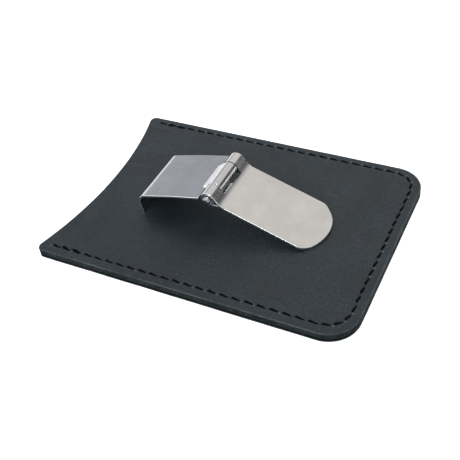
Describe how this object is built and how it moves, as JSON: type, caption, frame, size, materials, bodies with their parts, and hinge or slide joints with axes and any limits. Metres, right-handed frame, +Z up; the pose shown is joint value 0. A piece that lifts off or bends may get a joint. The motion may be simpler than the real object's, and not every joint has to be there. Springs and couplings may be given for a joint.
{
  "type": "money clip card sleeve",
  "caption": "Flat leather card sleeve sewn on three sides, open at one end, with a hinged lever money clip of bent steel sheet on its front.",
  "frame": {"origin": "centre of the underside of the back panel, which the sleeve lies on", "axes": "+X along the sleeve from the open card mouth to the sewn end, +Y across it, +Z up through the clip"},
  "size_m": [0.0996, 0.072, 0.0171],
  "materials": {
    "black_leather": "matte, fine grain",
    "black_thread": "matte, waxed thread",
    "arm_steel": "satin",
    "lever_steel": "satin",
    "pin_steel": "satin, domed ends"
  },
  "bodies": {
    "sleeve": {"front_panel": "black_leather", "middle_panel": "black_leather", "back_panel": "black_leather", "needle_thread": "black_thread", "bobbin_thread": "black_thread", "spring_arm": "arm_steel"},
    "flap": {"lever": "lever_steel", "hinge_pin": "pin_steel"}
  },
  "joints": [
    {"name": "lever_hinge", "type": "hinge", "parent": "sleeve", "child": "flap", "pos_m": [-0.00295, 0.00037, 0.0149], "axis": [0, -1, 0], "range_deg": [0, 180]}
  ]
}
